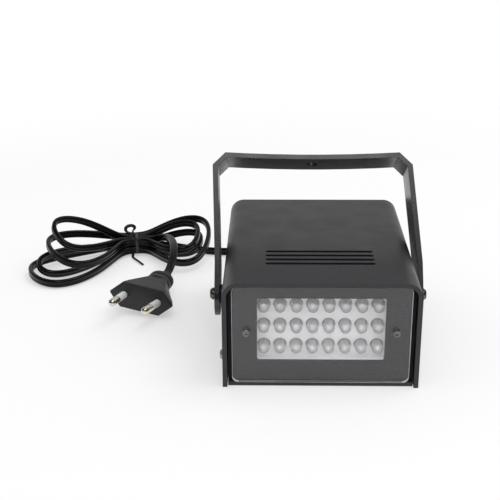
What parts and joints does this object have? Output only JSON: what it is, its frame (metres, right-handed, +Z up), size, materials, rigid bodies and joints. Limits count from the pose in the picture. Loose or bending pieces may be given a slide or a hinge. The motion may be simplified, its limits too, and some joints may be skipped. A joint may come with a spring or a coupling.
{
  "type": "strobe light",
  "caption": "Mini LED strobe light: flat-based plastic case with a clear front over rows of LEDs, a tilting strap yoke, a speed knob and a tied flat mains lead with its plug.",
  "frame": {"origin": "middle of the case's base, on the floor", "axes": "+Z up, -Y out of the lit front, +Y towards the rear panel, +X to the right as seen from the front"},
  "size_m": [0.2119, 0.1755, 0.0898],
  "materials": {
    "black_cover": "satin black, fine grain",
    "black_base": "matt black",
    "clear_plate": "clear acrylic with polished edges",
    "dark_mask": "dark grey, smooth",
    "nickel_screw": "nickel-plated",
    "black_screw": "blackened",
    "zinc_screw": "zinc-plated",
    "white_tray": "silver-white reflector",
    "led_epoxy": "water-clear epoxy",
    "tinned_wire": "tinned",
    "circuit_board": "green solder mask",
    "brass_part": "plain",
    "terminal_green": "moulded",
    "fuse_glass": "glass tube with metal caps",
    "capacitor_red": "dipped film",
    "capacitor_sleeve": "shrink sleeve",
    "black_epoxy": "moulded epoxy",
    "resistor_body": "lacquered",
    "pot_metal": "stamped",
    "shaft_metal": "turned",
    "black_knob": "matt black",
    "wire_brown": "PVC",
    "wire_red": "PVC",
    "wire_yellow": "PVC",
    "black_yoke": "satin black powder coat",
    "black_washer": "nylon",
    "black_plug": "moulded PVC",
    "black_lead": "glossy black PVC",
    "black_tie": "coated wire",
    "pin_metal": "nickel-plated brass",
    "pin_sleeve": "white-grey"
  },
  "bodies": {
    "case": {"top_cover": "black_cover", "base_plate": "black_base", "rear_panel": "black_base", "front_lens": "clear_plate", "front_mask": "dark_mask", "lens_screws": "nickel_screw", "mask_screws": "black_screw", "cover_screws": "black_screw", "base_screws": "zinc_screw", "reflector_tray": "white_tray", "leds": "led_epoxy", "led_pins": "tinned_wire", "led_board": "circuit_board", "led_board_screws": "zinc_screw", "control_board": "circuit_board", "board_standoffs": "brass_part", "board_screws": "zinc_screw", "mains_terminal": "terminal_green", "fuse": "fuse_glass", "fuse_clips": "brass_part", "dropper_capacitor": "capacitor_red", "smoothing_capacitor": "capacitor_sleeve", "rectifier_diodes": "black_epoxy", "resistors": "resistor_body", "switching_transistor": "black_epoxy", "timer_chip": "black_epoxy", "speed_pot": "pot_metal", "pot_nut": "nickel_screw", "mains_wires": "wire_brown", "led_wires": "wire_red", "pot_wires": "wire_yellow", "pivot_screws": "nickel_screw", "pivot_washers": "black_washer", "pivot_nuts": "nickel_screw", "strain_relief": "black_plug", "cord_case_lead": "black_lead", "cord_hank": "black_lead", "cord_plug_lead": "black_lead", "twist_tie": "black_tie", "plug_body": "black_plug", "plug_pins": "pin_metal", "plug_sleeves": "pin_sleeve"},
    "yoke": {"yoke": "black_yoke"},
    "knob": {"pot_shaft": "shaft_metal", "speed_knob": "black_knob"}
  },
  "joints": [
    {"name": "yoke_tilt", "type": "hinge", "parent": "case", "child": "yoke", "pos_m": [0, -0.0155, 0.028], "axis": [1, 0, 0], "range_deg": [-22, 132]},
    {"name": "speed_turn", "type": "hinge", "parent": "case", "child": "knob", "pos_m": [0.022, 0.056, 0.027], "axis": [0, 1, 0], "range_deg": [-140, 140]}
  ]
}
